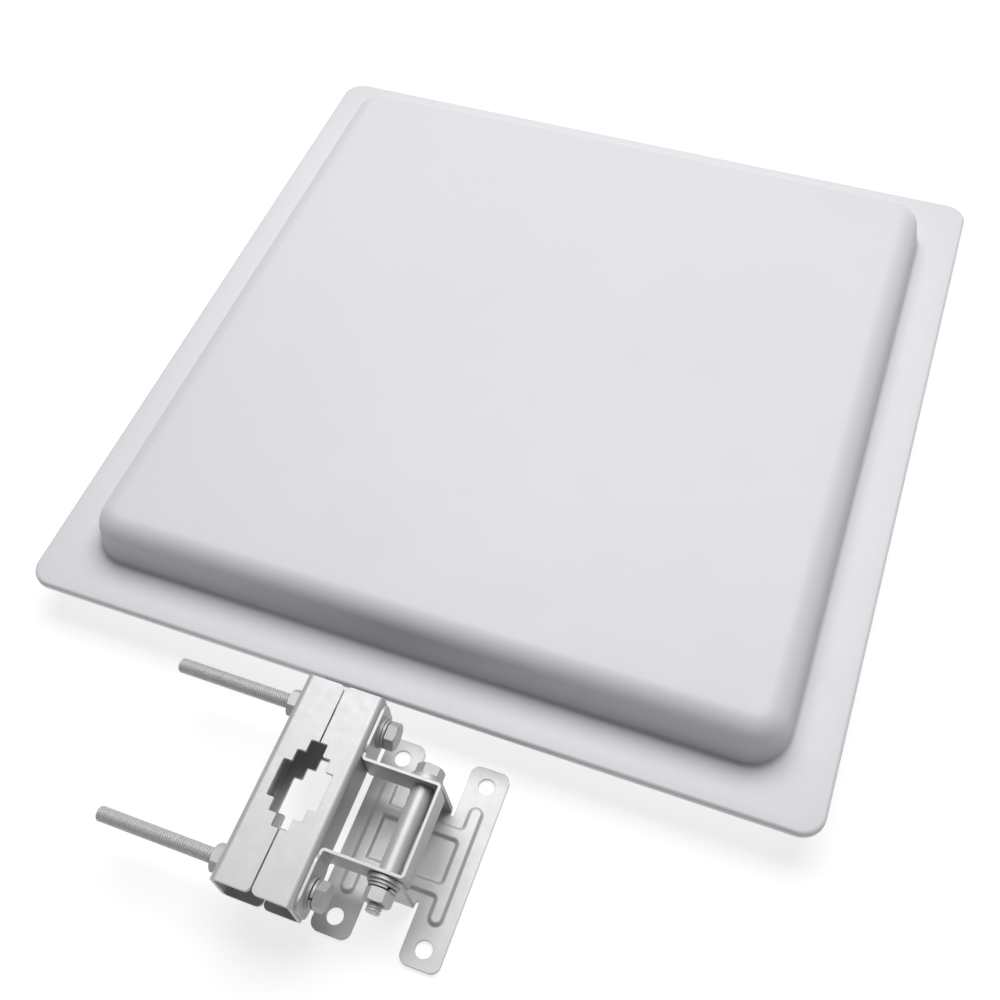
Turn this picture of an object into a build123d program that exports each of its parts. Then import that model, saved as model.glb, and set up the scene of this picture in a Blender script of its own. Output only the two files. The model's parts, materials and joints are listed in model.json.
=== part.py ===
"""Flat panel antenna for a store security gate, with its tilting pole bracket.

The origin is the centre of the antenna's rear face. +Z points out of the radome, and the
antenna lies face up on the tips of its rear studs. The pole bracket stands beside it on its
own plate. All sizes are in millimetres.
"""
import os
from math import cos, radians, tan

from build123d import *

os.makedirs("parts", exist_ok=True)

# ---------------------------------------------------------------- antenna: driving sizes
panel_side = 450.0  # outside of the radome's flange
panel_corner = 12.5  # plan radius of the flange's corners
lip_height = 5.0  # rear face to the flange's top
lip_edge_radius = 2.0
flange_wall = 2.5
lip_wall = 2.5
flange_width = 25.4  # from the flange's edge to the dome's foot
dome_height = 28.0  # dome above the flange
dome_draft = 12.0  # degrees
dome_corner = 22.0  # plan radius at the dome's foot
dome_edge_radius = 14.0
dome_foot_radius = 2.0
dome_wall = 3.0
plate_thickness = 1.5  # aluminium rear plate
plate_clearance = 0.5  # plate edge to the radome's lip
gasket_width = 9.0

boss_inset = 27.5  # dome's foot to the screw bosses' centres
boss_radius = 4.0
boss_screw_radius = 1.95
boss_screw_length = 14.0
pan_head_radius = 3.6
pan_head_height = 2.4
screw_hole_clearance = 0.25
plate_hole_clearance = 0.1  # studs, posts and connector through the rear plates
screw_slot = 0.7

patch_side = 140.0
patch_pitch = 190.0
patch_gap = 10.0  # rear plate to patch
patch_thickness = 1.0
patch_trim = 22.0  # corners cut off for circular polarisation
patch_post_radius = 7.0
patch_post_spigot = 3.0
patch_screw_radius = 2.0
patch_screw_length = 6.0

board_gap = 3.0  # rear plate to feed board
board_thickness = 1.5
board_width = 26.0
feed_offset = 40.0  # patch centre to its feed pin
board_overhang = 13.0  # board beyond a feed pin
track_width = 3.0
track_thickness = 0.2
feed_pin_radius = 0.8
spacer_radius = 3.0

stiffener_length = 126.0
stiffener_width = 88.0
stiffener_thickness = 2.0
stiffener_corner = 6.0

connector_offset = 110.0  # from the centre towards -Y
connector_flange = 25.4
connector_flange_thickness = 2.5
connector_gasket_thickness = 0.8
connector_thread_radius = 7.94  # 5/8 inch thread
connector_neck_radius = 7.2
connector_neck_length = 3.0
connector_reach = 18.5  # rear face to the connector's mouth
connector_bore_radius = 5.9
connector_screw_spacing = 18.1
connector_screw_radius = 1.5
connector_head_radius = 2.8
connector_head_height = 1.8
connector_flange_corner = 2.0
connector_mouth_chamfer = 0.6
insulator_depth = 9.0  # connector's mouth to the insulator's face
contact_depth = 2.5  # connector's mouth to the contact's tip
contact_radius = 1.5
contact_bore_radius = 0.85
contact_bore_length = 8.0
contact_slot = 0.35

# ---------------------------------------------------------------- M8 hardware
bolt_radius = 4.0
hex_flats = 13.0
hex_chamfer = 0.9
head_height = 5.3
nut_height = 6.5
washer_radius = 8.0
washer_thickness = 1.6
spring_washer_radius = 7.3
spring_washer_thickness = 2.0
spring_washer_gap = 1.6
washer_clearance = 0.2  # bolt to washer, radial
thread_clearance = 0.05  # bolt to nut, radial
pivot_clearance = 0.08  # pivot bolt to what turns on it, radial
bolt_tip_chamfer = 0.8
thread_showing = 4.5  # pivot bolt beyond its nut

stud_spacing_x = 47.4
stud_spacing_y = 86.0
stud_reach = 22.0  # rear face to the stud tips
stud_neck_step = 0.4  # pressed-in neck beyond the thread, radial
stud_head_radius = 6.5
stud_head_height = 2.0

# ---------------------------------------------------------------- pole bracket: driving sizes
bracket_x = -19.0  # seam between the jaws
bracket_gap = 8.0  # panel's near edge to the jaws' far ends

jaw_sheet = 2.0
jaw_bend_radius = 3.6  # bends are measured on the outside
jaw_length = 110.0
jaw_depth = 21.5
jaw_height = 28.5
jaw_corner = 3.0
seam_gap = 0.8
step_depth = 4.5  # the pole opening's three steps
opening_half_length = 23.0
step_length = 6.6
step_corner = 0.8
clamp_spacing = 85.0
bolt_hole_clearance = 0.5
rod_reach = 93.0  # seam to the rods' tips

hat_sheet = 1.6
hat_bend_radius = 2.4
hat_depth = 43.0
hat_height = 20.4
hat_half_width = 24.6
hat_flange_end = 54.0
hat_flange_height = 24.0
hat_flange_corner = 5.5
pivot_to_web = 10.2  # pivot to the hat's outer web face
pivot_drop = 0.6  # pivot below the rods' line
tube_radius = 5.5

foot_sheet = 2.0
ear_bend_radius = 3.2
leg_width = 21.2
leg_corner = 5.0
foot_length = 105.2
foot_hole_radius = 4.4
foot_below_jaw = 16.2  # jaw's bottom to the foot's top
ear_clearance = 0.3
ear_top_radius = 9.2
ear_base = 22.6
rib_width = 8.2
rib_height = 1.3
rib_length = 63.0
cross_rib_inset = 9.2  # ear bend's start to the cross ribs' middle
cross_rib_width = 7.8
rib_corner = 1.5
rib_edge_radius = 1.3
rib_root_radius = 1.3
rib_draft = 52.0  # slope of the ribs' sides, from upright

# ---------------------------------------------------------------- sizes that follow
bracket_y = -(panel_side / 2 + bracket_gap + jaw_length / 2)  # middle of the bracket
floor_z = -stud_reach
flange_under = lip_height - flange_wall
dome_top = lip_height + dome_height
dome_side = panel_side - 2 * flange_width
boss_half = dome_side / 2 - boss_inset
plate_side = panel_side - 2 * (lip_wall + plate_clearance)
plate_corner = panel_corner - lip_wall - plate_clearance
gasket_inner = plate_side - 2 * gasket_width
patch_bottom = plate_thickness + patch_gap
patch_top = patch_bottom + patch_thickness
board_bottom = plate_thickness + board_gap
board_top = board_bottom + board_thickness
feed_y = patch_pitch / 2 - feed_offset
stud_head_bottom = plate_thickness + stiffener_thickness
stud_neck_radius = bolt_radius + stud_neck_step

foot_top = floor_z + foot_sheet
jaw_bottom = foot_top + foot_below_jaw
rod_z = jaw_bottom + jaw_height / 2
clamp_half = clamp_spacing / 2
hat_seat = bracket_x + jaw_depth  # back of the inner jaw
hat_web = hat_seat + hat_depth
pivot_x = hat_web - pivot_to_web
pivot_z = rod_z - pivot_drop
ear_inner = hat_half_width + ear_clearance
ear_outer = ear_inner + foot_sheet
pivot_near_washer = bracket_y - ear_outer
pivot_near_spring = pivot_near_washer - washer_thickness
pivot_near_nut = pivot_near_spring - spring_washer_thickness
pivot_far_head = bracket_y + ear_outer + washer_thickness
pivot_tip = pivot_near_nut - nut_height - thread_showing
rod_washer_x = hat_seat + hat_sheet
rod_spring_x = rod_washer_x + washer_thickness
rod_head_x = rod_spring_x + spring_washer_thickness
outer_web_x = bracket_x - jaw_depth


# ---------------------------------------------------------------- shared shapes
def level(z, x=0.0, y=0.0):
    """Horizontal plane at height z, facing up."""
    return Plane(origin=(x, y, z))


def facing_down(z, x=0.0, y=0.0):
    return Plane(origin=(x, y, z), x_dir=(1, 0, 0), z_dir=(0, 0, -1))


def facing_right(x, y, z):
    """Upright plane whose normal is +X, with local axes along +Y and +Z."""
    return Plane(origin=(x, y, z), x_dir=(0, 1, 0), z_dir=(1, 0, 0))


def facing_left(x, y, z):
    return Plane(origin=(x, y, z), x_dir=(0, -1, 0), z_dir=(-1, 0, 0))


def facing_near(x, y, z):
    """Upright plane whose normal is -Y, with local axes along +X and +Z."""
    return Plane(origin=(x, y, z), x_dir=(1, 0, 0), z_dir=(0, -1, 0))


def facing_far(x, y, z):
    return Plane(origin=(x, y, z), x_dir=(-1, 0, 0), z_dir=(0, 1, 0))


def disc(plane, radius, height):
    """Add a round bar that stands on the plane to the part in hand."""
    with BuildSketch(plane) as section:
        Circle(radius)
    extrude(section.sketch, amount=height)


def drill(plane, radius, depth):
    """Cut a round hole into the part in hand, from the plane along its normal."""
    with BuildSketch(plane) as section:
        Circle(radius)
    extrude(section.sketch, amount=depth, mode=Mode.SUBTRACT)


def hexagon(seat, height, both_ends=False):
    """Add a hexagon with turned corners to an empty part in hand."""
    with BuildSketch(seat) as section:
        RegularPolygon(radius=hex_flats / 2, side_count=6, major_radius=False)
    extrude(section.sketch, amount=height)
    across = hex_flats / 2 / cos(radians(30))
    fall = hex_chamfer * tan(radians(30))
    inset = hex_chamfer if both_ends else 0.01
    rise = fall if both_ends else 0.01
    half_section = Plane(seat.origin, x_dir=seat.x_dir, z_dir=seat.x_dir.cross(seat.z_dir))
    with BuildSketch(half_section) as turned:
        with BuildLine():
            Polyline(
                (0, 0),
                (across - inset, 0),
                (across, rise),
                (across, height - fall),
                (across - hex_chamfer, height),
                (0, height),
                close=True,
            )
        make_face()
    revolve(turned.sketch, axis=Axis(seat.origin, seat.z_dir), mode=Mode.INTERSECT)


def washer(seat, outer, thickness, split=0.0):
    """Add a washer, or a spring washer when split gives its gap, to the part in hand."""
    with BuildSketch(seat) as section:
        Circle(outer)
        Circle(bolt_radius + washer_clearance, mode=Mode.SUBTRACT)
        if split:
            with Locations((0, (outer + bolt_radius) / 2)):
                Rectangle(split, outer, rotation=12, mode=Mode.SUBTRACT)
    extrude(section.sketch, amount=thickness)


def dome(side, corner, height, foot_z):
    """Add a drafted square block that stands at foot_z to the part in hand."""
    with BuildSketch(level(foot_z)) as section:
        RectangleRounded(side, side, corner)
    extrude(section.sketch, amount=height, taper=dome_draft)


def save(part, name):
    part.part.label = name
    export_step(part.part, f"parts/{name}.step")


# ---------------------------------------------------------------- radome and rear plate
with BuildPart() as radome_cavity:
    cavity_side = dome_side - 2 * dome_wall
    dome(cavity_side, dome_corner - dome_wall, dome_height + flange_wall - dome_wall, flange_under)
    fillet(radome_cavity.faces().sort_by(Axis.Z)[-1].edges(), dome_edge_radius - dome_wall)

with BuildPart() as radome:
    with BuildSketch():
        RectangleRounded(panel_side, panel_side, panel_corner)
    extrude(amount=lip_height)
    fillet(radome.faces().sort_by(Axis.Z)[-1].edges(), lip_edge_radius)
    dome(dome_side, dome_corner, dome_height, lip_height)
    fillet(radome.faces().sort_by(Axis.Z)[-1].edges(), dome_edge_radius)
    foot_edges = radome.edges().filter_by_position(Axis.Z, lip_height - 0.01, lip_height + 0.01)
    dome_foot = [e for e in foot_edges if max(abs(e.center().X), abs(e.center().Y)) < dome_side / 2 + 0.1]
    fillet(dome_foot, dome_foot_radius)
    with BuildSketch():
        RectangleRounded(plate_side + 2 * plate_clearance, plate_side + 2 * plate_clearance,
                         plate_corner + plate_clearance)
    extrude(amount=flange_under, mode=Mode.SUBTRACT)
    add(radome_cavity.part, mode=Mode.SUBTRACT)
    with BuildSketch(level(plate_thickness)):
        with GridLocations(boss_half, boss_half, 3, 3) as grid:
            boss_places = [p for p in grid.locations if abs(p.position.X) + abs(p.position.Y) > 1]
        with Locations(*boss_places):
            Circle(boss_radius)
            Circle(boss_screw_radius, mode=Mode.SUBTRACT)
    extrude(amount=dome_top - dome_wall / 2 - plate_thickness)
save(radome, "radome")

with BuildPart() as back_plate:
    with BuildSketch():
        RectangleRounded(plate_side, plate_side, plate_corner)
        with Locations(*boss_places):
            Circle(boss_screw_radius + screw_hole_clearance, mode=Mode.SUBTRACT)
        with GridLocations(stud_spacing_x, stud_spacing_y, 2, 2):
            Circle(stud_neck_radius + plate_hole_clearance, mode=Mode.SUBTRACT)
        with GridLocations(patch_pitch, patch_pitch, 2, 2):
            Circle(patch_post_spigot + plate_hole_clearance, mode=Mode.SUBTRACT)
        with Locations((0, -connector_offset)):
            Circle(connector_bore_radius + plate_hole_clearance, mode=Mode.SUBTRACT)
            with GridLocations(connector_screw_spacing, connector_screw_spacing, 2, 2):
                Circle(connector_screw_radius, mode=Mode.SUBTRACT)
    extrude(amount=plate_thickness)
save(back_plate, "back_plate")

with BuildPart() as edge_gasket:
    with BuildSketch(level(plate_thickness)):
        RectangleRounded(plate_side, plate_side, plate_corner)
        RectangleRounded(gasket_inner, gasket_inner, plate_corner, mode=Mode.SUBTRACT)
    extrude(amount=flange_under - plate_thickness)
save(edge_gasket, "edge_gasket")

with BuildPart() as radome_screws:
    with BuildSketch(facing_down(0)):
        with Locations(*boss_places):
            Circle(pan_head_radius)
    extrude(amount=pan_head_height)
    fillet(radome_screws.faces().sort_by(Axis.Z)[:len(boss_places)].edges(), pan_head_height / 2)
    with BuildSketch(facing_down(-pan_head_height)):
        with Locations(*boss_places):
            Rectangle(1.1 * pan_head_radius, screw_slot)
            Rectangle(screw_slot, 1.1 * pan_head_radius)
    extrude(amount=-pan_head_height / 2, mode=Mode.SUBTRACT)
    with BuildSketch():
        with Locations(*boss_places):
            Circle(boss_screw_radius)
    extrude(amount=boss_screw_length)
save(radome_screws, "radome_screws")

# ---------------------------------------------------------------- radiators and feed
patch_names = {(-1, -1): "front_left", (1, -1): "front_right", (-1, 1): "back_left", (1, 1): "back_right"}
for (side_x, side_y), place in patch_names.items():
    with BuildPart() as patch:
        with BuildSketch(level(patch_bottom, side_x * patch_pitch / 2, side_y * patch_pitch / 2)):
            Rectangle(patch_side, patch_side)
            with Locations((patch_side / 2, patch_side / 2), (-patch_side / 2, -patch_side / 2)):
                Rectangle(patch_trim * 2 ** 0.5, patch_trim * 2 ** 0.5, rotation=45, mode=Mode.SUBTRACT)
            Circle(patch_screw_radius, mode=Mode.SUBTRACT)
            with Locations((0, -side_y * feed_offset)):
                Circle(feed_pin_radius, mode=Mode.SUBTRACT)
        extrude(amount=patch_thickness)
    save(patch, f"patch_{place}")

with BuildPart() as patch_posts:
    with BuildSketch(level(plate_thickness)):
        with GridLocations(patch_pitch, patch_pitch, 2, 2):
            Circle(patch_post_radius)
    extrude(amount=patch_gap)
    with BuildSketch():
        with GridLocations(patch_pitch, patch_pitch, 2, 2):
            Circle(patch_post_spigot)
    extrude(amount=plate_thickness)
    with BuildSketch(level(patch_bottom)):
        with GridLocations(patch_pitch, patch_pitch, 2, 2):
            Circle(patch_screw_radius)
    extrude(amount=patch_thickness - patch_screw_length, mode=Mode.SUBTRACT)
save(patch_posts, "patch_posts")

with BuildPart() as patch_screws:
    with BuildSketch(level(patch_top)):
        with GridLocations(patch_pitch, patch_pitch, 2, 2):
            Circle(pan_head_radius)
    extrude(amount=pan_head_height)
    with BuildSketch(level(patch_top)):
        with GridLocations(patch_pitch, patch_pitch, 2, 2):
            Circle(patch_screw_radius)
    extrude(amount=-patch_screw_length)
save(patch_screws, "patch_screws")

board_half_length = feed_y + board_overhang
arm_x = patch_pitch / 2
with BuildPart() as feed_board:
    with BuildSketch(level(board_bottom)):
        Rectangle(patch_pitch, board_width)
        with Locations((-arm_x, 0), (arm_x, 0)):
            Rectangle(board_width, 2 * board_half_length)
        with Locations((0, -(connector_offset + board_width / 2) / 2)):
            Rectangle(board_width, connector_offset + board_width / 2)
        with GridLocations(patch_pitch, 2 * feed_y, 2, 2):
            Circle(feed_pin_radius, mode=Mode.SUBTRACT)
        with Locations((0, -connector_offset)):
            Circle(contact_bore_radius, mode=Mode.SUBTRACT)
    extrude(amount=board_thickness)
save(feed_board, "feed_board")

with BuildPart() as feed_tracks:
    with BuildSketch(level(board_top)):
        Rectangle(patch_pitch, track_width)
        with Locations((-arm_x, 0), (arm_x, 0)):
            Rectangle(track_width, 2 * feed_y + 2 * track_width)
        with Locations((0, -connector_offset / 2)):
            Rectangle(track_width, connector_offset + 2 * track_width)
        with GridLocations(patch_pitch, 2 * feed_y, 2, 2):
            Circle(feed_pin_radius, mode=Mode.SUBTRACT)
        with Locations((0, -connector_offset)):
            Circle(contact_bore_radius, mode=Mode.SUBTRACT)
    extrude(amount=track_thickness)
save(feed_tracks, "feed_tracks")

with BuildPart() as feed_pins:
    with BuildSketch(level(board_bottom)):
        with GridLocations(patch_pitch, 2 * feed_y, 2, 2):
            Circle(feed_pin_radius)
    extrude(amount=patch_top - board_bottom)
save(feed_pins, "feed_pins")

arm_spacer_y = feed_y - 2 * spacer_radius
spacer_places = [(x * arm_x, y * arm_spacer_y) for x in (-1, 1) for y in (-1, 1)]
spacer_places += [(-patch_pitch / 3, 0), (patch_pitch / 3, 0), (0, -connector_offset + 5 * spacer_radius)]
with BuildPart() as board_spacers:
    with BuildSketch(level(plate_thickness)):
        with Locations(*spacer_places):
            Circle(spacer_radius)
    extrude(amount=board_gap)
save(board_spacers, "board_spacers")

# ---------------------------------------------------------------- mounting studs
with BuildPart() as stiffener_plate:
    with BuildSketch(level(plate_thickness)):
        RectangleRounded(stiffener_width, stiffener_length, stiffener_corner)
        with GridLocations(stud_spacing_x, stud_spacing_y, 2, 2):
            Circle(stud_neck_radius + plate_hole_clearance, mode=Mode.SUBTRACT)
    extrude(amount=stiffener_thickness)
save(stiffener_plate, "stiffener_plate")

with BuildPart() as mounting_studs:
    with BuildSketch(level(stud_head_bottom)):
        with GridLocations(stud_spacing_x, stud_spacing_y, 2, 2):
            Circle(stud_head_radius)
    extrude(amount=stud_head_height)
    with BuildSketch(level(stud_head_bottom)):
        with GridLocations(stud_spacing_x, stud_spacing_y, 2, 2):
            Circle(stud_neck_radius)
    extrude(amount=-stud_head_bottom)
    with BuildSketch():
        with GridLocations(stud_spacing_x, stud_spacing_y, 2, 2):
            Circle(bolt_radius)
    extrude(amount=-stud_reach)
    chamfer(mounting_studs.faces().sort_by(Axis.Z)[:4].edges(), bolt_tip_chamfer)
save(mounting_studs, "mounting_studs")

# ---------------------------------------------------------------- coaxial connector
flange_face_z = -connector_gasket_thickness
barrel_z = flange_face_z - connector_flange_thickness
thread_z = barrel_z - connector_neck_length

with BuildPart() as connector_gasket:
    with BuildSketch(facing_down(0, 0, -connector_offset)):
        RectangleRounded(connector_flange, connector_flange, connector_flange_corner)
        Circle(connector_bore_radius, mode=Mode.SUBTRACT)
        with GridLocations(connector_screw_spacing, connector_screw_spacing, 2, 2):
            Circle(connector_screw_radius, mode=Mode.SUBTRACT)
    extrude(amount=connector_gasket_thickness)
save(connector_gasket, "connector_gasket")

with BuildPart() as connector_body:
    with BuildSketch(facing_down(flange_face_z, 0, -connector_offset)):
        RectangleRounded(connector_flange, connector_flange, connector_flange_corner)
        with GridLocations(connector_screw_spacing, connector_screw_spacing, 2, 2):
            Circle(connector_screw_radius, mode=Mode.SUBTRACT)
    extrude(amount=connector_flange_thickness)
    disc(facing_down(barrel_z, 0, -connector_offset), connector_neck_radius, connector_neck_length)
    disc(facing_down(thread_z, 0, -connector_offset), connector_thread_radius, connector_reach + thread_z)
    chamfer(connector_body.faces().sort_by(Axis.Z)[0].edges(), connector_mouth_chamfer)
    drill(facing_down(flange_face_z, 0, -connector_offset), connector_bore_radius, connector_reach)
save(connector_body, "connector_body")

with BuildPart() as connector_insulator:
    disc(facing_down(board_bottom, 0, -connector_offset), connector_bore_radius,
         board_bottom + connector_reach - insulator_depth)
    drill(facing_down(board_bottom, 0, -connector_offset), contact_radius, board_bottom + connector_reach)
save(connector_insulator, "connector_insulator")

contact_mouth_z = contact_depth - connector_reach
with BuildPart() as connector_contact:
    disc(level(contact_mouth_z, 0, -connector_offset), contact_radius, board_bottom - contact_mouth_z)
    disc(level(board_bottom, 0, -connector_offset), contact_bore_radius, board_thickness + track_thickness)
    drill(level(contact_mouth_z, 0, -connector_offset), contact_bore_radius, contact_bore_length)
    with BuildSketch(level(contact_mouth_z, 0, -connector_offset)):
        Rectangle(3 * contact_radius, contact_slot)
        Rectangle(contact_slot, 3 * contact_radius)
    extrude(amount=contact_bore_length * 0.6, mode=Mode.SUBTRACT)
save(connector_contact, "connector_contact")

with BuildPart() as connector_screws:
    with BuildSketch(facing_down(barrel_z, 0, -connector_offset)):
        with GridLocations(connector_screw_spacing, connector_screw_spacing, 2, 2):
            Circle(connector_head_radius)
    extrude(amount=connector_head_height)
    fillet(connector_screws.faces().sort_by(Axis.Z)[:4].edges(), connector_head_height / 2)
    with BuildSketch(facing_down(barrel_z - connector_head_height, 0, -connector_offset)):
        with GridLocations(connector_screw_spacing, connector_screw_spacing, 2, 2):
            Rectangle(connector_head_radius, screw_slot)
            Rectangle(screw_slot, connector_head_radius)
    extrude(amount=-connector_head_height / 2, mode=Mode.SUBTRACT)
    with BuildSketch(level(barrel_z, 0, -connector_offset)):
        with GridLocations(connector_screw_spacing, connector_screw_spacing, 2, 2):
            Circle(connector_screw_radius)
    extrude(amount=plate_thickness - barrel_z)
save(connector_screws, "connector_screws")

# ---------------------------------------------------------------- bracket foot
# The foot lies flat, bolts to the antenna's studs, and holds the pivot between its two ears.
hole_x = stud_spacing_x / 2
leg_inner = hole_x - leg_width / 2
ear_bend = ear_outer - ear_bend_radius
cross_rib_offset = ear_bend - cross_rib_inset
relief_radius = (leg_inner - ear_base / 2) / 2

with BuildPart() as antenna_plate:
    with BuildSketch(level(floor_z, pivot_x, bracket_y)):
        with GridLocations(stud_spacing_x, 0, 2, 1):
            RectangleRounded(leg_width, foot_length, leg_corner)
        Rectangle(2 * hole_x, 2 * ear_bend)
        with GridLocations(ear_base + 2 * relief_radius, 2 * ear_bend, 2, 2):
            Circle(relief_radius, mode=Mode.SUBTRACT)
        with GridLocations(stud_spacing_x, stud_spacing_y, 2, 2):
            Circle(foot_hole_radius, mode=Mode.SUBTRACT)
    extrude(amount=foot_sheet)
    for side in (-1, 1):
        ear_middle = side * (ear_outer - foot_sheet / 2)
        with BuildSketch(facing_right(pivot_x - ear_base / 2, bracket_y, floor_z)):
            with BuildLine():
                FilletPolyline(
                    (side * (ear_bend - foot_sheet), foot_sheet / 2),
                    (ear_middle, foot_sheet / 2),
                    (ear_middle, ear_bend_radius + foot_sheet),
                    radius=ear_bend_radius - foot_sheet / 2,
                )
            trace(line_width=foot_sheet)
        extrude(amount=ear_base)
        with BuildSketch(facing_near(pivot_x, bracket_y + ear_middle + foot_sheet / 2, floor_z)):
            with Locations((0, pivot_z - floor_z)):
                Circle(ear_top_radius)
            with Locations((0, ear_bend_radius + foot_sheet / 2)):
                Rectangle(ear_base, foot_sheet)
            make_hull()
        extrude(amount=foot_sheet)
    drill(facing_near(pivot_x, bracket_y + foot_length, pivot_z), bolt_radius + washer_clearance,
          2 * foot_length)
    with BuildSketch(level(foot_top, pivot_x, bracket_y)) as ribs:
        with GridLocations(stud_spacing_x, 0, 2, 1):
            SlotOverall(rib_length, rib_width, rotation=90)
        with GridLocations(0, 2 * cross_rib_offset, 1, 2):
            Rectangle(stud_spacing_x, cross_rib_width)
        fillet(ribs.vertices().filter_by(lambda v: abs(v.X - pivot_x) < hole_x), rib_corner)
    extrude(amount=rib_height, taper=rib_draft)
    fillet(antenna_plate.edges(Select.LAST).filter_by_position(
        Axis.Z, foot_top - 0.01, foot_top + 0.01), rib_root_radius)
    rib_top = antenna_plate.faces().filter_by(Plane.XY).filter_by_position(
        Axis.Z, foot_top + rib_height - 0.01, foot_top + rib_height + 0.01)
    fillet(rib_top.edges(), rib_edge_radius)
    with BuildSketch(level(floor_z, pivot_x, bracket_y)):
        with GridLocations(stud_spacing_x, 0, 2, 1):
            SlotOverall(rib_length - rib_height, rib_width - rib_height, rotation=90)
        with GridLocations(0, 2 * cross_rib_offset, 1, 2):
            Rectangle(stud_spacing_x, cross_rib_width - rib_height)
    extrude(amount=rib_height, taper=rib_draft, mode=Mode.SUBTRACT)
save(antenna_plate, "antenna_plate")

with BuildPart() as pivot_bolt:
    hexagon(facing_far(pivot_x, pivot_far_head, pivot_z), head_height)
    disc(facing_near(pivot_x, pivot_far_head, pivot_z), bolt_radius, pivot_far_head - pivot_tip)
    chamfer(pivot_bolt.faces().sort_by(Axis.Y)[0].edges(), bolt_tip_chamfer)
save(pivot_bolt, "pivot_bolt")

with BuildPart() as pivot_head_washer:
    washer(facing_near(pivot_x, pivot_far_head, pivot_z), washer_radius, washer_thickness)
save(pivot_head_washer, "pivot_head_washer")

with BuildPart() as pivot_flat_washer:
    washer(facing_near(pivot_x, pivot_near_washer, pivot_z), washer_radius, washer_thickness)
save(pivot_flat_washer, "pivot_flat_washer")

with BuildPart() as pivot_spring_washer:
    washer(facing_near(pivot_x, pivot_near_spring, pivot_z), spring_washer_radius,
           spring_washer_thickness, spring_washer_gap)
save(pivot_spring_washer, "pivot_spring_washer")

with BuildPart() as pivot_nut:
    hexagon(facing_near(pivot_x, pivot_near_nut, pivot_z), nut_height, both_ends=True)
    drill(facing_near(pivot_x, pivot_near_nut, pivot_z), bolt_radius + thread_clearance, nut_height)
save(pivot_nut, "pivot_nut")

# ---------------------------------------------------------------- tilting bracket
with BuildPart() as tilt_bracket:
    flange_x = hat_seat + hat_sheet / 2
    wall_y = hat_half_width - hat_sheet / 2
    with BuildSketch(level(rod_z - hat_height / 2, 0, bracket_y)):
        with BuildLine():
            FilletPolyline(
                (flange_x, -hat_flange_end + hat_flange_corner),
                (flange_x, -wall_y),
                (hat_web - hat_sheet / 2, -wall_y),
                (hat_web - hat_sheet / 2, wall_y),
                (flange_x, wall_y),
                (flange_x, hat_flange_end - hat_flange_corner),
                radius=hat_bend_radius - hat_sheet / 2,
            )
        trace(line_width=hat_sheet)
    extrude(amount=hat_height)
    flange_length = hat_flange_end - hat_half_width - hat_bend_radius + hat_sheet
    with BuildSketch(facing_right(hat_seat, bracket_y, rod_z)):
        with GridLocations(2 * hat_flange_end - flange_length, 0, 2, 1):
            RectangleRounded(flange_length, hat_flange_height, hat_flange_corner)
    extrude(amount=hat_sheet)
    for side in (-1, 1):
        drill(facing_right(hat_seat, bracket_y + side * clamp_half, rod_z),
              bolt_radius + bolt_hole_clearance, hat_sheet)
    drill(facing_near(pivot_x, bracket_y + hat_half_width, pivot_z), bolt_radius + pivot_clearance,
          2 * hat_half_width)
save(tilt_bracket, "tilt_bracket")

with BuildPart() as spacer_tube:
    tube_half = hat_half_width - hat_sheet
    disc(facing_near(pivot_x, bracket_y + tube_half, pivot_z), tube_radius, 2 * tube_half)
    drill(facing_near(pivot_x, bracket_y + tube_half, pivot_z), bolt_radius + pivot_clearance,
          2 * tube_half)
save(spacer_tube, "spacer_tube")

# ---------------------------------------------------------------- clamp jaws
jaw_top = jaw_bottom + jaw_height
for name, side in (("outer_jaw", -1), ("inner_jaw", 1)):
    edge_x = bracket_x + side * seam_gap / 2
    web_x = bracket_x + side * (jaw_depth - jaw_sheet / 2)
    with BuildPart() as jaw:
        with BuildSketch(facing_near(0, bracket_y + jaw_length / 2, 0)):
            with BuildLine():
                FilletPolyline(
                    (edge_x, jaw_bottom + jaw_sheet / 2),
                    (web_x, jaw_bottom + jaw_sheet / 2),
                    (web_x, jaw_top - jaw_sheet / 2),
                    (edge_x, jaw_top - jaw_sheet / 2),
                    radius=jaw_bend_radius - jaw_sheet / 2,
                )
            trace(line_width=jaw_sheet)
        extrude(amount=jaw_length)
        seam_corners = jaw.edges().filter_by(Axis.Z).filter_by(lambda e: abs(e.center().X - edge_x) < 0.01)
        fillet(seam_corners, jaw_corner)
        with BuildSketch(level(jaw_bottom, bracket_x, bracket_y)) as pole_opening:
            for step in (1, 2, 3):
                Rectangle(2 * step * step_depth, 2 * (opening_half_length - (step - 1) * step_length))
            fillet(pole_opening.vertices(), step_corner)
        extrude(amount=jaw_height, mode=Mode.SUBTRACT)
        for end in (-1, 1):
            drill(facing_right(bracket_x - jaw_depth, bracket_y + end * clamp_half, rod_z),
                  bolt_radius + bolt_hole_clearance, 2 * jaw_depth)
    save(jaw, name)

# ---------------------------------------------------------------- clamp bolts
clamp_places = {"near": bracket_y - clamp_half, "far": bracket_y + clamp_half}
for place, bolt_y in clamp_places.items():
    with BuildPart() as clamp_bolt:
        hexagon(facing_right(rod_head_x, bolt_y, rod_z), head_height)
        disc(facing_left(rod_head_x, bolt_y, rod_z), bolt_radius, rod_head_x - bracket_x + rod_reach)
        chamfer(clamp_bolt.faces().sort_by(Axis.X)[0].edges(), bolt_tip_chamfer)
    save(clamp_bolt, f"clamp_bolt_{place}")

    with BuildPart() as clamp_nut:
        hexagon(facing_left(outer_web_x, bolt_y, rod_z), nut_height, both_ends=True)
        drill(facing_left(outer_web_x, bolt_y, rod_z), bolt_radius + thread_clearance, nut_height)
    save(clamp_nut, f"clamp_nut_{place}")

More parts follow.
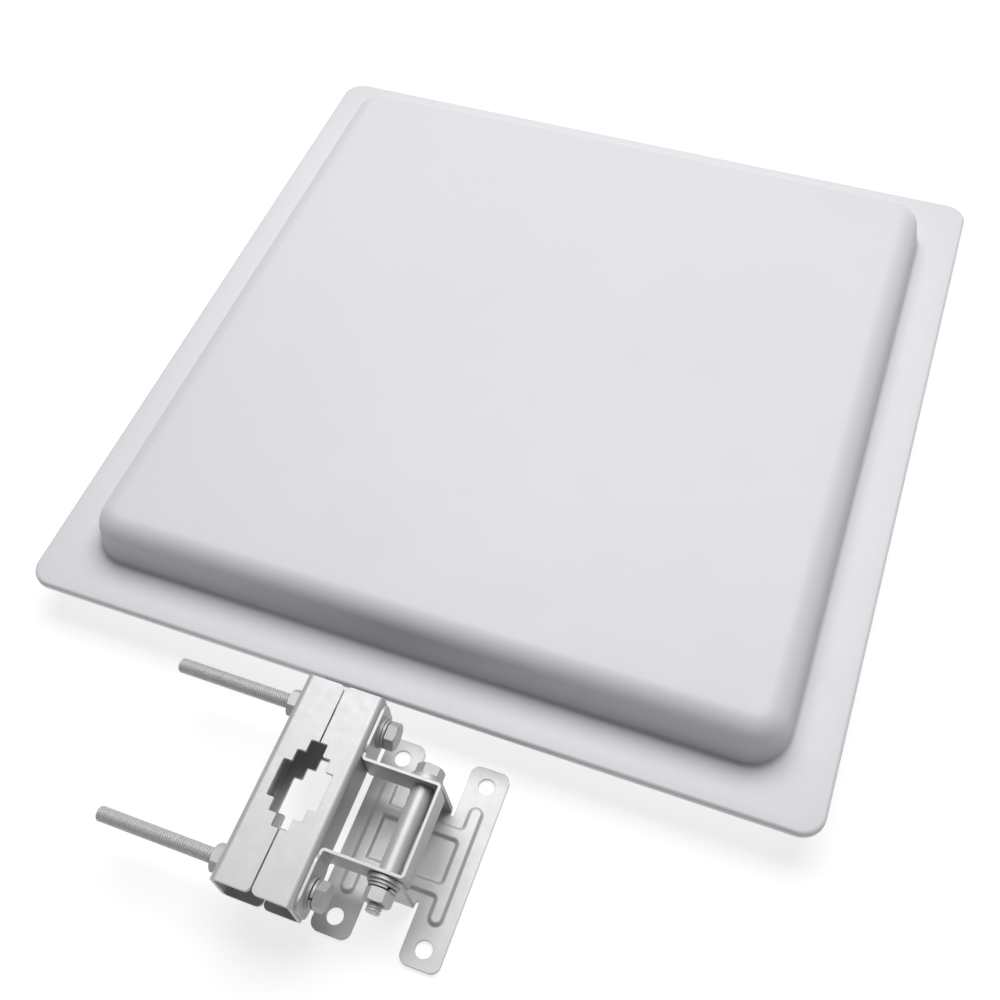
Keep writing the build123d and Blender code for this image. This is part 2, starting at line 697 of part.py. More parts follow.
with BuildPart() as clamp_flat_washers:
    for bolt_y in clamp_places.values():
        washer(facing_right(rod_washer_x, bolt_y, rod_z), washer_radius, washer_thickness)
save(clamp_flat_washers, "clamp_flat_washers")

with BuildPart() as clamp_spring_washers:
    for bolt_y in clamp_places.values():
        washer(facing_right(rod_spring_x, bolt_y, rod_z), spring_washer_radius,
               spring_washer_thickness, spring_washer_gap)
save(clamp_spring_washers, "clamp_spring_washers")
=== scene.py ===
"""Looks of the panel antenna and its pole bracket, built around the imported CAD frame.

All lengths are in metres. The antenna lies face up and the bracket stands beside it.
"""

import json
from math import cos, hypot, pi, radians, sin, tan

import bmesh
import bpy
from mathutils import Matrix, Vector


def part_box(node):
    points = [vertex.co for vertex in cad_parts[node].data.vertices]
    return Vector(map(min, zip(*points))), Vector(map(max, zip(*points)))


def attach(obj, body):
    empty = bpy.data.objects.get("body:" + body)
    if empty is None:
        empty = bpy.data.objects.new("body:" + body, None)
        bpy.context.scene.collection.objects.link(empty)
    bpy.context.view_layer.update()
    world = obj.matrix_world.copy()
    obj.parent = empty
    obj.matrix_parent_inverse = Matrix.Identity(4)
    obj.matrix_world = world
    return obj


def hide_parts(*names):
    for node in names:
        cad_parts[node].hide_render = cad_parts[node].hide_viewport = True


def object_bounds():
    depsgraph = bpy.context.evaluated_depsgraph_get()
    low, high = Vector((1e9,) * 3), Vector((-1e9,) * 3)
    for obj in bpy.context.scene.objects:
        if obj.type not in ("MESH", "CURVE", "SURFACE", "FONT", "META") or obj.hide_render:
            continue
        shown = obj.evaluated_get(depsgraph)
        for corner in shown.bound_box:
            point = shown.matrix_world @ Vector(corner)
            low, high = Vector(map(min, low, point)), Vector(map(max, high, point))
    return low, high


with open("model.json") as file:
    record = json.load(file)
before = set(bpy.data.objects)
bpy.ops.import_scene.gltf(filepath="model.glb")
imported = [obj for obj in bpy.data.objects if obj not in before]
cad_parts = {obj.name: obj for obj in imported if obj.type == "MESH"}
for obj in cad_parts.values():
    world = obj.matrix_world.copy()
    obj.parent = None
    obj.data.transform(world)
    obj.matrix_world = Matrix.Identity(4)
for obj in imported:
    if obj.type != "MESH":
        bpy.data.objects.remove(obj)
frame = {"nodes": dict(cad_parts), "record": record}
cad_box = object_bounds()
nodes = frame["nodes"]
slot_of = {part["node"]: part["material_slot"] for part in frame["record"]["subparts"]}
colour_of = {m["slot"]: m["base_color"] for m in frame["record"]["materials"]}
MM = 0.001
BARREL_RADIUS = 7.94 * MM  # thread of the coaxial socket, 5/8 inch with 24 turns to the inch
BARREL_TURNS = 24 / 0.0254
scene = bpy.context.scene

# ---------------------------------------------------------------- camera
CAMERA_PLACE = (0.1689, -0.4370, 0.5855)
CAMERA_ANGLES = (radians(33.16), radians(2.77), radians(20.35))
CAMERA_LENS = 43.5

camera_data = bpy.data.cameras.new("camera")
camera_data.lens = CAMERA_LENS
camera_data.sensor_width = 36.0
camera_data.clip_start = 0.01
camera = bpy.data.objects.new("camera", camera_data)
camera.location = CAMERA_PLACE
camera.rotation_euler = CAMERA_ANGLES
scene.collection.objects.link(camera)
scene.camera = camera
scene.view_settings.view_transform = "Standard"


# ---------------------------------------------------------------- materials
class Shader:
    """A Principled material and the few nodes that its surface detail is made with."""

    def __init__(self, name, base, roughness, metallic=0.0):
        self.material = bpy.data.materials.new(name)
        self.material.use_nodes = True
        self.tree = self.material.node_tree
        self.bsdf = self.tree.nodes["Principled BSDF"]
        self.bsdf.inputs["Base Color"].default_value = (*base[:3], 1.0)
        self.bsdf.inputs["Roughness"].default_value = roughness
        self.bsdf.inputs["Metallic"].default_value = metallic
        self.place = self.add("ShaderNodeTexCoord").outputs["Object"]
        self.normal = None
        self.colour = None

    def add(self, kind, **settings):
        node = self.tree.nodes.new(kind)
        for key, value in settings.items():
            setattr(node, key, value)
        return node

    def link(self, source, target):
        self.tree.links.new(source, target)

    def stretched(self, scale):
        """Object coordinates multiplied along each axis, for brushed or rolled lines."""
        mapping = self.add("ShaderNodeMapping")
        mapping.inputs["Scale"].default_value = scale
        self.link(self.place, mapping.inputs["Vector"])
        return mapping.outputs["Vector"]

    def noise(self, scale, detail=3.0, roughness=0.5, vector=None):
        node = self.add("ShaderNodeTexNoise")
        node.inputs["Scale"].default_value = scale
        node.inputs["Detail"].default_value = detail
        node.inputs["Roughness"].default_value = roughness
        self.link(vector or self.place, node.inputs["Vector"])
        return node.outputs["Fac"]

    def ramp(self, value, stops):
        """Colour ramp through (position, grey or colour) stops."""
        node = self.add("ShaderNodeValToRGB")
        elements = node.color_ramp.elements
        while len(elements) < len(stops):
            elements.new(0.5)
        for element, (position, colour) in zip(elements, stops):
            element.position = position
            grey = not hasattr(colour, "__len__")
            element.color = (colour, colour, colour, 1.0) if grey else (*colour[:3], 1.0)
        self.link(value, node.inputs["Fac"])
        return node.outputs["Color"]

    def spread(self, value, low, high):
        """A 0 to 1 value carried to a range."""
        node = self.add("ShaderNodeMapRange")
        node.inputs["To Min"].default_value = low
        node.inputs["To Max"].default_value = high
        self.link(value, node.inputs["Value"])
        return node.outputs["Result"]

    def multiply_colour(self, value, low, high):
        """Vary the base colour's brightness between two factors."""
        base = self.bsdf.inputs["Base Color"].default_value[:3]
        dark = [c * low for c in base]
        light = [min(1.0, c * high) for c in base]
        self.link(self.ramp(value, [(0.3, dark), (0.7, light)]), self.bsdf.inputs["Base Color"])

    def layer(self, value, low, high):
        """Multiply the base colour by a factor that runs from low to high with the value."""
        factor = self.spread(value, low, high)
        scale = self.add("ShaderNodeVectorMath", operation="SCALE")
        if self.colour is None:
            scale.inputs[0].default_value = self.bsdf.inputs["Base Color"].default_value[:3]
        else:
            self.link(self.colour, scale.inputs[0])
        self.link(factor, scale.inputs["Scale"])
        self.colour = scale.outputs["Vector"]
        self.link(self.colour, self.bsdf.inputs["Base Color"])

    def edge_wear_and_highlight(self, radius):
        """A mask that is 1 along edges and 0 on open faces, for a painted edge highlight that also
        stands for rubbed wear.
        """
        rounded = self.add("ShaderNodeBevel", samples=6)
        rounded.inputs["Radius"].default_value = radius
        straight = self.add("ShaderNodeNewGeometry")
        agree = self.add("ShaderNodeVectorMath", operation="DOT_PRODUCT")
        self.link(rounded.outputs["Normal"], agree.inputs[0])
        self.link(straight.outputs["Normal"], agree.inputs[1])
        return self.ramp(agree.outputs["Value"], [(0.8, 1.0), (0.99, 0.0)])

    def vary_roughness(self, value, low, high):
        self.link(self.spread(value, low, high), self.bsdf.inputs["Roughness"])

    def bump(self, height, distance, strength=1.0):
        node = self.add("ShaderNodeBump")
        node.inputs["Strength"].default_value = strength
        node.inputs["Distance"].default_value = distance
        self.link(height, node.inputs["Height"])
        if self.normal is not None:
            self.link(self.normal, node.inputs["Normal"])
        self.normal = node.outputs["Normal"]
        self.link(self.normal, self.bsdf.inputs["Normal"])

    def soften_edges(self, radius):
        """Round every edge's shading, as a press tool and a coating do."""
        node = self.add("ShaderNodeBevel", samples=6)
        node.inputs["Radius"].default_value = radius
        self.normal = node.outputs["Normal"]
        self.link(self.normal, self.bsdf.inputs["Normal"])


def moulded_radome(name, base):
    """Satin moulded plastic with a fine grain and a faint unevenness from forming."""
    shader = Shader(name, base, 0.5)
    shader.multiply_colour(shader.noise(6.0, 2.0), 0.985, 1.012)
    shader.vary_roughness(shader.noise(35.0, 4.0), 0.45, 0.56)
    shader.bump(shader.noise(14.0, 1.0), 0.0006, 0.25)
    shader.bump(shader.noise(1500.0, 3.0, 0.6), 0.00002, 0.5)
    shader.bsdf.inputs["Specular IOR Level"].default_value = 0.45
    return shader.material


def pressed_steel(name, base):
    """Silver-grey coated pressed sheet: cloudy, finely pebbled, scuffed, with edges brightened as
    rubbed wear and as a painted highlight.
    """
    shader = Shader(name, base, 0.42, 0.3)
    cloud = shader.noise(38.0, 6.0, 0.62)
    stain = shader.noise(1.0, 5.0, 0.7, shader.stretched((420.0, 60.0, 60.0)))
    scuff = shader.ramp(shader.noise(230.0, 8.0, 0.75), [(0.62, 0.0), (0.72, 1.0)])
    shader.layer(cloud, 0.92, 1.06)
    shader.layer(stain, 0.97, 1.03)
    shader.layer(scuff, 1.0, 0.86)
    # painted highlight, partly rubbed wear: the base colour brightens up to 1.22 along every edge
    shader.layer(shader.edge_wear_and_highlight(0.0004), 1.0, 1.22)
    shader.vary_roughness(shader.noise(160.0, 5.0, 0.65), 0.36, 0.54)
    shader.soften_edges(0.0004)
    shader.bump(shader.noise(1100.0, 3.0, 0.6), 0.00003, 0.5)
    shader.bump(shader.noise(70.0, 3.0), 0.0002, 0.2)
    shader.bump(scuff, 0.00003, 0.3)
    return shader.material


def zinc_hardware(name, base):
    """Dull zinc plate, a little cloudy, with edges brightened as rubbed wear and as a painted
    highlight.
    """
    shader = Shader(name, base, 0.45, 0.4)
    shader.layer(shader.noise(260.0, 5.0, 0.65), 0.84, 1.1)
    shader.layer(shader.noise(900.0, 2.0), 0.94, 1.05)
    # painted highlight, partly rubbed wear: the base colour brightens up to 1.3 along every edge
    shader.layer(shader.edge_wear_and_highlight(0.0003), 1.0, 1.3)
    shader.vary_roughness(shader.noise(520.0, 4.0), 0.46, 0.62)
    shader.soften_edges(0.00022)
    shader.bump(shader.noise(2400.0, 2.0), 0.00002, 0.4)
    return shader.material


def rolled_thread(name, base):
    """Rolled threads: brighter and rougher than the turned heads, a little cloudy."""
    shader = Shader(name, [1.2 * c for c in base], 0.5, 0.3)
    shader.layer(shader.noise(180.0, 5.0, 0.65), 0.88, 1.1)
    shader.vary_roughness(shader.noise(600.0, 4.0), 0.42, 0.62)
    shader.bump(shader.noise(2600.0, 2.0), 0.00002, 0.4)
    return shader.material


def turned_thread(name, base):
    """Nickel-plated barrel with a fine bumped thread around the Z axis, with painted shade in its roots
    and a painted highlight on its crests.
    """
    shader = Shader(name, base, 0.3, 1.0)
    place = shader.add("ShaderNodeSeparateXYZ")
    shader.link(shader.place, place.inputs["Vector"])
    turns = shader.add("ShaderNodeMath", operation="MULTIPLY")
    turns.inputs[1].default_value = BARREL_TURNS
    shader.link(place.outputs["Z"], turns.inputs[0])
    groove_height_and_shade = shader.add("ShaderNodeMath", operation="PINGPONG")
    groove_height_and_shade.inputs[1].default_value = 0.5
    shader.link(turns.outputs["Value"], groove_height_and_shade.inputs[0])
    # painted shade and highlight: the base colour runs from 0.6 in the thread's roots to 1.3 on its
    # crests
    shader.layer(groove_height_and_shade.outputs["Value"], 0.6, 1.3)
    shader.bump(groove_height_and_shade.outputs["Value"], 0.0008, 1.0)
    return shader.material


def drawn_tube(name, base):
    """Satin drawn tube with faint lines along its length (the Y axis)."""
    shader = Shader(name, base, 0.42, 0.3)
    lines = shader.noise(1.0, 4.0, 0.6, shader.stretched((2600.0, 25.0, 2600.0)))
    shader.layer(shader.noise(120.0, 4.0, 0.6), 0.93, 1.05)
    shader.layer(lines, 0.96, 1.03)
    shader.vary_roughness(lines, 0.38, 0.5)
    shader.soften_edges(0.0003)
    shader.bump(lines, 0.00001, 0.4)
    return shader.material


def rolled_sheet(name, base):
    """Mill-finish sheet with rolling lines along X."""
    shader = Shader(name, base, 0.34, 1.0)
    lines = shader.noise(1.0, 5.0, 0.6, shader.stretched((8.0, 900.0, 900.0)))
    shader.multiply_colour(lines, 0.94, 1.03)
    shader.vary_roughness(lines, 0.28, 0.44)
    shader.soften_edges(0.0002)
    shader.bump(lines, 0.00001, 0.4)
    return shader.material


def foam_rubber(name, base):
    shader = Shader(name, base, 0.85)
    pores = shader.noise(1800.0, 2.0, 0.7)
    shader.multiply_colour(pores, 0.7, 1.5)
    shader.bump(pores, 0.00008, 0.7)
    return shader.material


def natural_nylon(name, base):
    shader = Shader(name, base, 0.45)
    shader.multiply_colour(shader.noise(120.0, 3.0), 0.96, 1.03)
    shader.bsdf.inputs["Subsurface Weight"].default_value = 0.15
    shader.bsdf.inputs["Subsurface Scale"].default_value = 0.002
    shader.soften_edges(0.0002)
    shader.bump(shader.noise(900.0, 2.0), 0.00002, 0.4)
    return shader.material


def woven_laminate(name, base):
    """Circuit board: green resist over a glass weave."""
    shader = Shader(name, base, 0.3)
    weave = shader.add("ShaderNodeTexBrick")
    weave.inputs["Scale"].default_value = 900.0
    weave.inputs["Mortar Size"].default_value = 0.08
    shader.link(shader.place, weave.inputs["Vector"])
    shader.multiply_colour(shader.noise(200.0, 3.0), 0.85, 1.15)
    shader.bump(weave.outputs["Fac"], 0.00002, 0.4)
    shader.bsdf.inputs["Coat Weight"].default_value = 0.5
    return shader.material


def soft_metal(name, base):
    """Copper, brass or nickel that has been handled."""
    shader = Shader(name, base, 0.28, 1.0)
    shader.multiply_colour(shader.noise(300.0, 4.0, 0.6), 0.85, 1.05)
    shader.vary_roughness(shader.noise(600.0, 3.0), 0.2, 0.4)
    shader.soften_edges(0.00015)
    shader.bump(shader.noise(2200.0, 2.0), 0.00001, 0.4)
    return shader.material


FINISHES = {
    "radome_plastic": moulded_radome,
    "plate_aluminium": rolled_sheet,
    "bare_aluminium": rolled_sheet,
    "black_rubber": foam_rubber,
    "zinc_steel": zinc_hardware,
    "tube_steel": drawn_tube,
    "bracket_grey": pressed_steel,
    "white_nylon": natural_nylon,
    "board_laminate": woven_laminate,
    "copper_track": soft_metal,
    "pin_brass": soft_metal,
    "bright_nickel": soft_metal,
    "white_insulator": natural_nylon,
}
materials = {slot: FINISHES[slot](slot, colour_of[slot]) for slot in sorted(set(slot_of.values()))}
thread_material = rolled_thread("rolled_thread", colour_of["zinc_steel"])
for name, node in nodes.items():
    node.data.materials.clear()
    node.data.materials.append(materials[slot_of[name]])
barrel = nodes["connector_body"].data
barrel.materials.append(turned_thread("barrel_thread", colour_of["bright_nickel"]))
barrel_low, barrel_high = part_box("connector_body")
barrel_middle = (barrel_low + barrel_high) / 2
for polygon in barrel.polygons:
    away = polygon.center - barrel_middle
    on_barrel = abs(hypot(away.x, away.y) - BARREL_RADIUS) < 0.1 * MM
    if on_barrel and abs(polygon.normal.z) < 0.1:
        polygon.material_index = 1


# ---------------------------------------------------------------- mesh helpers
def new_piece(name, mesh_builder, body, slot, replaced, smooth_angle=radians(35)):
    """Turn a filled bmesh into a piece that rides on a body and stands for its CAD nodes.

    Faces with material index 1 are threads.
    """
    mesh = bpy.data.meshes.new(name)
    bmesh.ops.recalc_face_normals(mesh_builder, faces=mesh_builder.faces)
    mesh_builder.to_mesh(mesh)
    mesh_builder.free()
    mesh.materials.append(materials[slot])
    if any(polygon.material_index for polygon in mesh.polygons):
        mesh.materials.append(thread_material)
    piece = bpy.data.objects.new(name, mesh)
    scene.collection.objects.link(piece)
    mesh.shade_smooth()
    mesh.set_sharp_from_angle(angle=smooth_angle)
    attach(piece, body)
    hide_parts(*replaced)
    return piece


def skin_rings(builder, rings):
    """Join rings of equally many points with quads."""
    rows = [[builder.verts.new(point) for point in ring] for ring in rings]
    for row, following in zip(rows, rows[1:]):
        for i in range(len(row)):
            j = (i + 1) % len(row)
            builder.faces.new((row[i], row[j], following[j], following[i]))
    return rows


def circle(radius, z, steps, x=0.0, y=0.0):
    """Points of a level circle."""
    turns = [2 * pi * j / steps for j in range(steps)]
    return [(x + radius * cos(turn), y + radius * sin(turn), z) for turn in turns]


def box_and_middle(name):
    low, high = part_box(name)
    return low, high, (low + high) / 2


def cap(builder, row, centre):
    """Close a ring with a fan about a centre point."""
    middle = builder.verts.new(centre)
    for i, vertex in enumerate(row):
        builder.faces.new((vertex, row[(i + 1) % len(row)], middle))


# ---------------------------------------------------------------- radome
radome_low, radome_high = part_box("radome")
RADOME_CORNER = 12.5 * MM
LIP_HEIGHT = 5.0 * MM
LIP_EDGE = 2.0 * MM
LIP_WALL = 2.5 * MM
FLANGE_WIDTH = 25.4 * MM
DOME_CORNER = 22.0 * MM
DOME_DRAFT = radians(12)
DOME_EDGE = 14.0 * MM
DOME_FOOT = 2.4 * MM
DOME_WALL = 3.0 * MM
DOME_LEAN = 4.0 * MM  # how far the inside of the dome's wall leans in
LEAST_CORNER = 4.0 * MM
RIM_ROUND = 0.5 * MM  # lower edge of the lip
PLATE_ROOM = 0.5 * MM  # lip to rear plate
CROWN = 0.7 * MM
COLUMN_RADIUS = 4.0 * MM
COLUMN_BORE = 1.95 * MM
COLUMN_STEPS = 32
PAN_HEAD = 3.6 * MM
CORNER_STEPS = 14
SIDE_STEPS = 22
CROWN_STEPS = 18


def square_ring(half, corner, height):
    """Points of a rounded square about the origin, evenly split along sides and corners."""
    points = []
    straight = half - corner
    for quarter in range(4):
        turn = Matrix.Rotation(quarter * pi / 2, 3, "Z")
        for i in range(SIDE_STEPS):
            points.append(turn @ Vector((half, -straight + 2 * straight * i / SIDE_STEPS, height)))
        for i in range(CORNER_STEPS):
            angle = i / CORNER_STEPS * pi / 2
            x, y = straight + corner * cos(angle), straight + corner * sin(angle)
            points.append(turn @ Vector((x, y, height)))
    return points


def arc(centre_inset, centre_height, radius, start, end, steps):
    """(inset, height) points of an arc in the radome's section; angles from outwards to upwards."""
    angles = [start + (end - start) * i / steps for i in range(steps + 1)]
    return [(centre_inset - radius * cos(a), centre_height + radius * sin(a)) for a in angles]


def radome_section():
    """(inset from the flange's edge, height) down the outside, from the lip to the crown's rim."""
    section = arc(RIM_ROUND, RIM_ROUND, RIM_ROUND, -pi / 2, 0, 3)
    section += arc(LIP_EDGE, LIP_HEIGHT - LIP_EDGE, LIP_EDGE, 0, pi / 2, 6)
    flat = FLANGE_WIDTH - DOME_FOOT - LIP_EDGE
    section += [(LIP_EDGE + flat * share, LIP_HEIGHT) for share in (0.25, 0.5, 0.75)]
    foot_centre = FLANGE_WIDTH - DOME_FOOT * tan((pi / 2 - DOME_DRAFT) / 2)
    foot = [(foot_centre + DOME_FOOT * sin(a), LIP_HEIGHT + DOME_FOOT * (1 - cos(a)))
            for a in [(pi / 2 - DOME_DRAFT) * i / 5 for i in range(6)]]
    top = radome_high.z - CROWN
    rise = top - LIP_HEIGHT
    edge_inset = FLANGE_WIDTH + rise * tan(DOME_DRAFT) + DOME_EDGE * tan((pi / 2 - DOME_DRAFT) / 2)
    edge = arc(edge_inset, top - DOME_EDGE, DOME_EDGE, DOME_DRAFT, pi / 2, 14)
    return section + foot + edge


def radome_corner(inset):
    """Plan radius of the corners at an inset: the lip's own, then the dome's."""
    if inset <= LIP_EDGE:
        return RADOME_CORNER - inset * 0.5
    if inset < FLANGE_WIDTH:
        share = (inset - LIP_EDGE) / (FLANGE_WIDTH - LIP_EDGE)
        return RADOME_CORNER - LIP_EDGE * 0.5 + share * (DOME_CORNER - RADOME_CORNER + LIP_EDGE * 0.5)
    return max(LEAST_CORNER, DOME_CORNER - (inset - FLANGE_WIDTH))


def add_screw_columns(builder, top):
    """Hollow columns under the crown, one over each of the rear plate's screws."""
    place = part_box("radome_screws")[1].x - PAN_HEAD
    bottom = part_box("back_plate")[1].z
    section = [(COLUMN_BORE, bottom), (COLUMN_RADIUS, bottom), (COLUMN_RADIUS, top), (COLUMN_BORE, top)]
    spots = [(x, y) for x in (-place, 0, place) for y in (-place, 0, place) if x or y]
    for x, y in spots:
        rows = skin_rings(builder, [circle(radius, z, COLUMN_STEPS, x, y) for radius, z in section])
        for j in range(COLUMN_STEPS):
            k = (j + 1) % COLUMN_STEPS
            builder.faces.new((rows[-1][j], rows[-1][k], rows[0][k], rows[0][j]))


def build_radome():
    half = radome_high.x
    outside = radome_section()
    rings = [square_ring(half - inset, radome_corner(inset), height) for inset, height in outside]
    rim_inset, rim_height = outside[-1]
    rim_half = half - rim_inset
    rim_corner = radome_corner(rim_inset)
    for i in range(1, CROWN_STEPS):
        share = 1 - i / CROWN_STEPS
        lift = CROWN * (1 - share ** 2)
        rings.append(square_ring(rim_half * share, rim_corner * share, rim_height + lift))
    inside = [(LIP_WALL + PLATE_ROOM, 0.0), (LIP_WALL + PLATE_ROOM, LIP_HEIGHT - LIP_WALL),
              (FLANGE_WIDTH + DOME_WALL, LIP_HEIGHT - LIP_WALL),
              (FLANGE_WIDTH + DOME_WALL + DOME_LEAN, rim_height - DOME_EDGE),
              (rim_inset, rim_height - DOME_WALL)]
    builder = bmesh.new()
    inner_rings = [square_ring(half - inset, radome_corner(inset), z) for inset, z in reversed(inside)]
    rows = skin_rings(builder, inner_rings + rings)
    cap(builder, rows[0], (0, 0, rim_height - DOME_WALL))
    cap(builder, rows[-1], (0, 0, radome_high.z))
    add_screw_columns(builder, rim_height - DOME_WALL / 2)
    return new_piece("radome_moulding", builder, "antenna", "radome_plastic", ["radome"], radians(50))


build_radome()

# ---------------------------------------------------------------- threaded hardware
ROUND_STEPS = 48
THREAD_STEPS = 8
M8_RADIUS = 4.0 * MM
M8_PITCH = 1.25 * MM
M8_DEPTH = 0.68 * MM
M8_TIP = 0.8 * MM
HEX_FLATS = 13.0 * MM
HEX_CHAMFER = 0.9 * MM
HEAD_HEIGHT = 5.3 * MM
STUD_HEAD_RADIUS = 6.5 * MM
STUD_HEAD_HEIGHT = 2.0 * MM
STUD_HEAD_EDGE = 0.3 * MM
STUD_NECK_RADIUS = 4.4 * MM
WASHER_BORE = 4.2 * MM
WASHER_EDGE = 0.2 * MM
WASHER_STEPS = 60
SPLIT_GAP = 0.30


def thread_radius(phase):
    """Radius of a 60 degree thread with narrow flats at crest and root."""
    away = abs((phase + 0.5) % 1.0 - 0.5) * 2
    return M8_RADIUS - M8_DEPTH * min(1.0, max(0.0, (away - 0.125) / 0.625))


def threaded_rows(builder, start, length):
    """A helical M8 thread from z = start to z = length, open at both ends, with a turned tip."""
    turns = int(length / M8_PITCH) + 3
    rows = []
    for k in range(-THREAD_STEPS, turns * THREAD_STEPS):
        row = []
        for j in range(ROUND_STEPS + 1):
            raw = (k / THREAD_STEPS + j / ROUND_STEPS) * M8_PITCH
            z = min(max(raw, start), length)
            radius = M8_RADIUS if z <= start else thread_radius(k / THREAD_STEPS)
            radius = min(radius, M8_RADIUS - M8_TIP + (length - z))
            angle = 2 * pi * j / ROUND_STEPS
            row.append(builder.verts.new((radius * cos(angle), radius * sin(angle), z)))
        rows.append(row)
    for row, following in zip(rows, rows[1:]):
        for j in range(ROUND_STEPS):
            face = builder.faces.new((row[j], row[j + 1], following[j + 1], following[j]))
            face.material_index = 1


def hexagon_rows():
    """Rings of a turned hexagonal head below z = 0, from its crown to the shank's root."""
    across = HEX_FLATS / 2 / cos(pi / 6)

    def ring(z, limit):
        points = []
        for j in range(ROUND_STEPS):
            angle = 2 * pi * j / ROUND_STEPS
            facet = (angle + pi / 6) % (pi / 3) - pi / 6
            radius = min(HEX_FLATS / 2 / cos(facet), limit)
            points.append((radius * cos(angle), radius * sin(angle), z))
        return points

    fall = tan(radians(30))
    rings = [ring(-HEAD_HEIGHT, across - HEX_CHAMFER)]
    for i in range(1, 7):
        inset = HEX_CHAMFER * (1 - i / 6)
        rings.append(ring(-HEAD_HEIGHT + (HEX_CHAMFER - inset) * fall, across - inset))
    lower_edge = [(-0.15 * MM, 0.0), (-0.05 * MM, 0.25 * MM), (0.0, 0.5 * MM)]
    rings += [ring(z, across - inset) for z, inset in lower_edge]
    return rings + [circle(M8_RADIUS, 0.0, ROUND_STEPS)]


def stud_rows(neck_length):
    """Rings of a pressed stud's flat head below z = 0 and of the neck under it."""
    section = [(STUD_HEAD_RADIUS - STUD_HEAD_EDGE, -STUD_HEAD_HEIGHT),
               (STUD_HEAD_RADIUS, -STUD_HEAD_HEIGHT + STUD_HEAD_EDGE), (STUD_HEAD_RADIUS, 0.0),
               (STUD_NECK_RADIUS, 0.0), (STUD_NECK_RADIUS, neck_length), (M8_RADIUS, neck_length)]
    return [circle(radius, z, ROUND_STEPS) for radius, z in section]


def add_bolt(builder, seat, direction, head_rings, length, spin=0.0, neck_length=0.0):
    """Add one bolt: its head sits on the seat and its thread runs along the direction."""
    part = bmesh.new()
    threaded_rows(part, neck_length, length)
    rows = skin_rings(part, head_rings)
    cap(part, rows[0], (0, 0, head_rings[0][0][2]))
    bmesh.ops.remove_doubles(part, verts=part.verts, dist=1e-7)
    bmesh.ops.dissolve_degenerate(part, edges=part.edges, dist=1e-7)
    boundary = [e for e in part.edges if e.is_boundary]
    bmesh.ops.holes_fill(part, edges=boundary, sides=0)
    turn = Vector(direction).to_track_quat("Z", "Y").to_matrix().to_4x4()
    part.transform(Matrix.Translation(seat) @ turn @ Matrix.Rotation(spin, 4, "Z"))
    merge(builder, part)


def add_spring_washer(builder, seat, direction, outer, room, split):
    """A helical split washer that fills the room between its two neighbours."""
    thickness = 0.72 * room
    rise = room - thickness
    edge = WASHER_EDGE
    outline = [(WASHER_BORE, edge), (WASHER_BORE + edge, 0.0), (outer - edge, 0.0), (outer, edge),
               (outer, thickness - edge), (outer - edge, thickness),
               (WASHER_BORE + edge, thickness), (WASHER_BORE, thickness - edge)]
    part = bmesh.new()
    sweep = 2 * pi - SPLIT_GAP
    rows = []
    for i in range(WASHER_STEPS + 1):
        share = i / WASHER_STEPS
        angle = split + SPLIT_GAP / 2 + sweep * share
        row = [(radius * cos(angle), radius * sin(angle), z + rise * share) for radius, z in outline]
        rows.append([part.verts.new(point) for point in row])
    for row, following in zip(rows, rows[1:]):
        for j in range(len(outline)):
            k = (j + 1) % len(outline)
            part.faces.new((row[j], row[k], following[k], following[j]))
    part.faces.new(rows[0])
    part.faces.new(reversed(rows[-1]))
    turn = Vector(direction).to_track_quat("Z", "Y").to_matrix().to_4x4()
    part.transform(Matrix.Translation(seat) @ turn)
    merge(builder, part)


def merge(builder, part):
    """Add a finished bmesh to another one."""
    bmesh.ops.recalc_face_normals(part, faces=part.faces)
    joined = bpy.data.meshes.new("joined")
    part.to_mesh(joined)
    part.free()
    builder.from_mesh(joined)
    bpy.data.meshes.remove(joined)


def build_clamp_bolt(place, spin):
    node = f"clamp_bolt_{place}"
    low, high, middle = box_and_middle(node)
    seat = Vector((high.x - HEAD_HEIGHT, middle.y, middle.z))
    builder = bmesh.new()
    add_bolt(builder, seat, (-1, 0, 0), hexagon_rows(), seat.x - low.x, spin=spin)
    return new_piece(f"threaded_{node}", builder, "tilt_head", "zinc_steel", [node])


def build_pivot_bolt():
    low, high, middle = box_and_middle("pivot_bolt")
    seat = Vector((middle.x, high.y - HEAD_HEIGHT, middle.z))
    builder = bmesh.new()
    add_bolt(builder, seat, (0, -1, 0), hexagon_rows(), seat.y - low.y, spin=0.3)
    return new_piece("threaded_pivot_bolt", builder, "bracket_foot", "zinc_steel", ["pivot_bolt"])


def build_studs():
    low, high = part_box("mounting_studs")
    offset_x = high.x - STUD_HEAD_RADIUS
    offset_y = high.y - STUD_HEAD_RADIUS
    seat_z = high.z - STUD_HEAD_HEIGHT
    builder = bmesh.new()
    for x in (-offset_x, offset_x):
        for y in (-offset_y, offset_y):
            add_bolt(builder, Vector((x, y, seat_z)), (0, 0, -1), stud_rows(seat_z), seat_z - low.z,
                     neck_length=seat_z)
    return new_piece("threaded_studs", builder, "antenna", "zinc_steel", ["mounting_studs"])


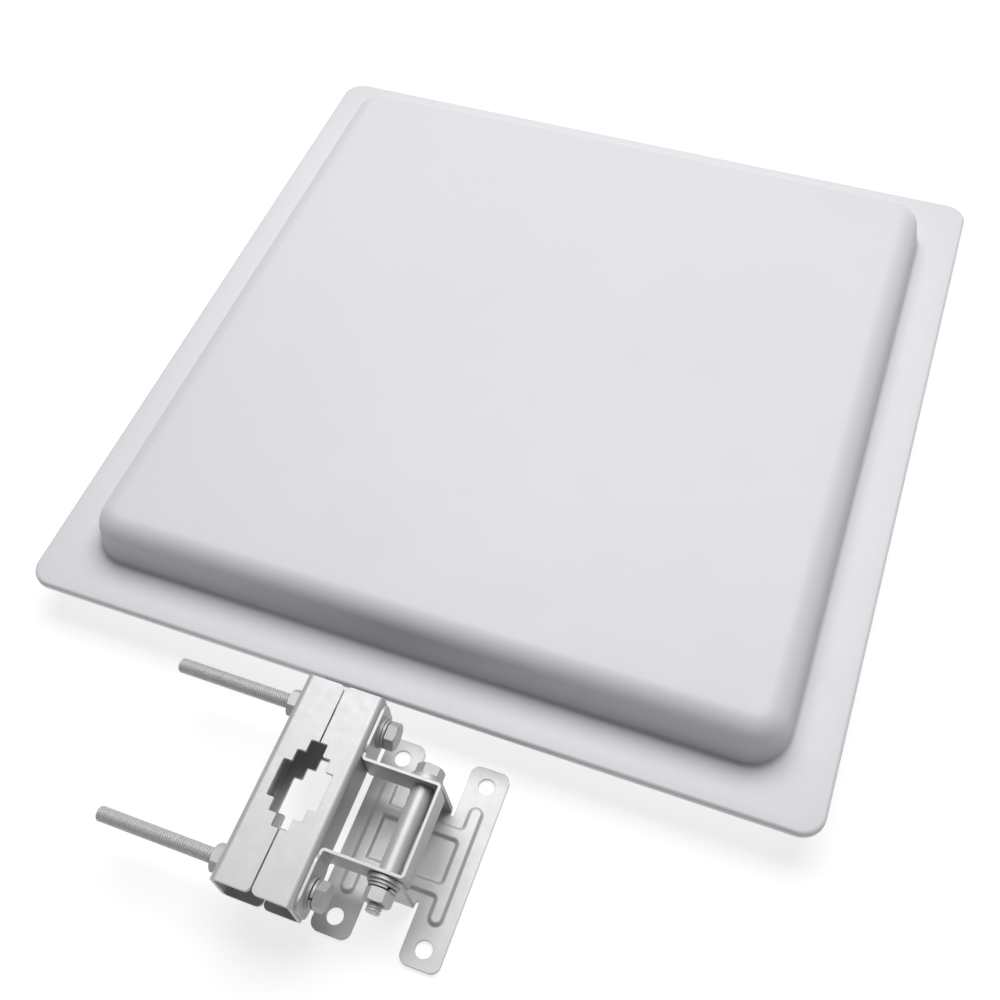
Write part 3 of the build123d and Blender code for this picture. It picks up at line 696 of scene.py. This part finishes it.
def build_spring_washers():
    low, high, middle = box_and_middle("pivot_spring_washer")
    outer = (high.z - low.z) / 2
    builder = bmesh.new()
    seat = Vector((middle.x, high.y, middle.z))
    add_spring_washer(builder, seat, (0, -1, 0), outer, high.y - low.y, 0.9)
    new_piece("pivot_split_washer", builder, "bracket_foot", "zinc_steel", ["pivot_spring_washer"])
    low, high, middle = box_and_middle("clamp_spring_washers")
    builder = bmesh.new()
    for y, split in ((low.y + outer, 2.2), (high.y - outer, 0.5)):
        seat = Vector((low.x, y, middle.z))
        add_spring_washer(builder, seat, (1, 0, 0), outer, high.x - low.x, split)
    new_piece("clamp_split_washers", builder, "tilt_head", "zinc_steel", ["clamp_spring_washers"])


build_spring_washers()
build_clamp_bolt("near", 0.15)
build_clamp_bolt("far", 0.4)
build_pivot_bolt()
build_studs()

# ---------------------------------------------------------------- floor and light
FLOOR_SIDE = 40.0
FLOOR_GAP = 0.0002  # keeps the floor clear of the faces that stand on it
floor_mesh = bpy.data.meshes.new("floor")
floor_z = cad_box[0][2] - FLOOR_GAP
reach = FLOOR_SIDE / 2
corners = [(-reach, -reach), (reach, -reach), (reach, reach), (-reach, reach)]
floor_mesh.from_pydata([(x, y, floor_z) for x, y in corners], [], [(0, 1, 2, 3)])
floor = bpy.data.objects.new("floor", floor_mesh)
scene.collection.objects.link(floor)
paper = Shader("white_paper", (0.3, 0.3, 0.3), 0.9)
paper.bsdf.inputs["Specular IOR Level"].default_value = 0.0
paper.bsdf.inputs["Emission Color"].default_value = (1.0, 1.0, 1.0, 1.0)
paper.bsdf.inputs["Emission Strength"].default_value = 0.76
floor_mesh.materials.append(paper.material)

world = bpy.data.worlds.new("studio")
world.use_nodes = True
scene.world = world
background = world.node_tree.nodes["Background"]
background.inputs["Color"].default_value = (1.0, 1.0, 1.0, 1.0)
background.inputs["Strength"].default_value = 0.11


def softbox(name, place, target, size, watts):
    light = bpy.data.lights.new(name, "AREA")
    light.shape = "RECTANGLE"
    light.size, light.size_y = size
    light.energy = watts
    lamp = bpy.data.objects.new(name, light)
    lamp.location = place
    lamp.rotation_euler = (Vector(target) - Vector(place)).to_track_quat("-Z", "Y").to_euler()
    scene.collection.objects.link(lamp)


softbox("overhead", (-0.1, 0.95, 2.2), (0.0, 0.05, 0.0), (2.4, 1.5), 72.0)
